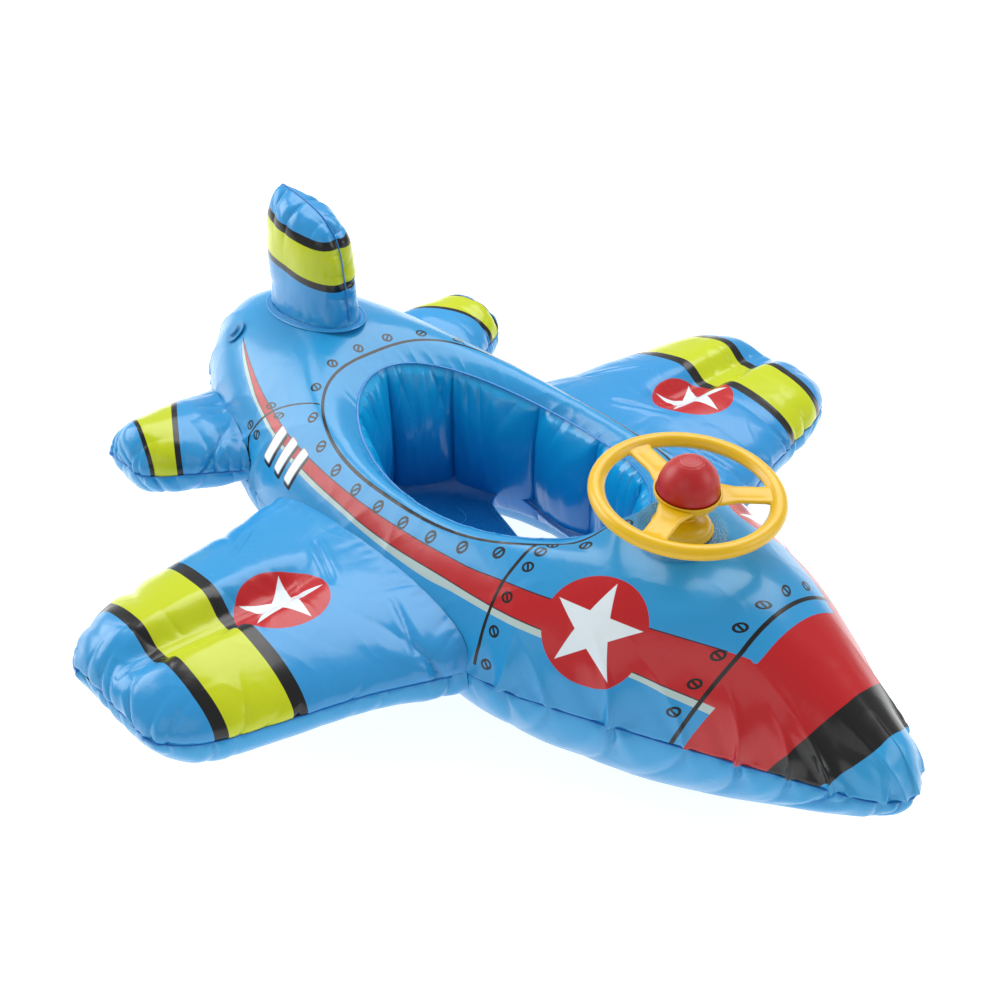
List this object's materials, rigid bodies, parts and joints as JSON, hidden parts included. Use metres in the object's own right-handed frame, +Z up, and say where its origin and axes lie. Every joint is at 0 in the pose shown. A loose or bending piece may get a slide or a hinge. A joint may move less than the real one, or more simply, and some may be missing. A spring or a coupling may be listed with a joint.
{
  "type": "toy airplane",
  "caption": "Inflatable toy airplane float with a cockpit seat, stub wings, a tailplane, a fin, a turning steering wheel and a squeaky horn.",
  "frame": {"origin": "on the ground, under the middle of the airplane's overall box", "axes": "+X towards the nose, +Y towards the airplane's left wing, +Z up"},
  "size_m": [0.845, 0.768, 0.316],
  "materials": {
    "blue_vinyl": "glossy printed film",
    "cockpit_vinyl": "glossy film",
    "lime_vinyl": "glossy printed film",
    "clear_vinyl": "clear, slightly milky",
    "yellow_plastic": "moulded, semi-gloss",
    "white_plastic": "plain",
    "red_rubber": "satin soft vinyl",
    "steel": "zinc plated"
  },
  "bodies": {
    "airframe": {"hull_top_panel": "blue_vinyl", "hull_bottom_panel": "blue_vinyl", "cockpit_wall": "cockpit_vinyl", "cockpit_tie_webs": "clear_vinyl", "seat_sling": "cockpit_vinyl", "right_wing_top_panel": "blue_vinyl", "right_wing_bottom_panel": "blue_vinyl", "right_wing_web": "clear_vinyl", "left_wing_top_panel": "blue_vinyl", "left_wing_bottom_panel": "blue_vinyl", "left_wing_web": "clear_vinyl", "right_tailplane_top_panel": "lime_vinyl", "right_tailplane_bottom_panel": "blue_vinyl", "left_tailplane_top_panel": "lime_vinyl", "left_tailplane_bottom_panel": "blue_vinyl", "fin_right_panel": "blue_vinyl", "fin_left_panel": "blue_vinyl", "fin_weld_strip": "blue_vinyl", "wheel_pad": "clear_vinyl", "wheel_pad_backing_ring": "yellow_plastic", "wheel_base": "yellow_plastic", "wheel_washer": "steel", "wheel_screw": "steel", "hull_valve_body": "clear_vinyl", "hull_valve_flap": "clear_vinyl", "right_wing_valve_body": "clear_vinyl", "right_wing_valve_flap": "clear_vinyl", "left_wing_valve_body": "clear_vinyl", "left_wing_valve_flap": "clear_vinyl"},
    "wheel": {"steering_wheel": "yellow_plastic"},
    "horn": {"horn_bulb": "red_rubber", "horn_reed": "white_plastic"},
    "hull_plug": {"hull_valve_plug": "clear_vinyl"},
    "right_wing_plug": {"right_wing_valve_plug": "clear_vinyl"},
    "left_wing_plug": {"left_wing_valve_plug": "clear_vinyl"}
  },
  "joints": [
    {"name": "wheel_turn", "type": "hinge", "parent": "airframe", "child": "wheel", "pos_m": [0.187, 0, 0.19715], "axis": [0.0785, 0, 0.9969], "continuous": true},
    {"name": "horn_press", "type": "slide", "parent": "wheel", "child": "horn", "axis": [-0.0785, 0, -0.9969], "range_m": [0, 0.0025], "stiffness_N_per_m": 900},
    {"name": "hull_plug_pull", "type": "slide", "parent": "airframe", "child": "hull_plug", "axis": [-0.2814, -0.5912, 0.7558], "range_m": [0, 0.006]},
    {"name": "right_wing_plug_pull", "type": "slide", "parent": "airframe", "child": "right_wing_plug", "axis": [0, 0, -1], "range_m": [0, 0.006]},
    {"name": "left_wing_plug_pull", "type": "slide", "parent": "airframe", "child": "left_wing_plug", "axis": [0, 0, -1], "range_m": [0, 0.006]}
  ]
}
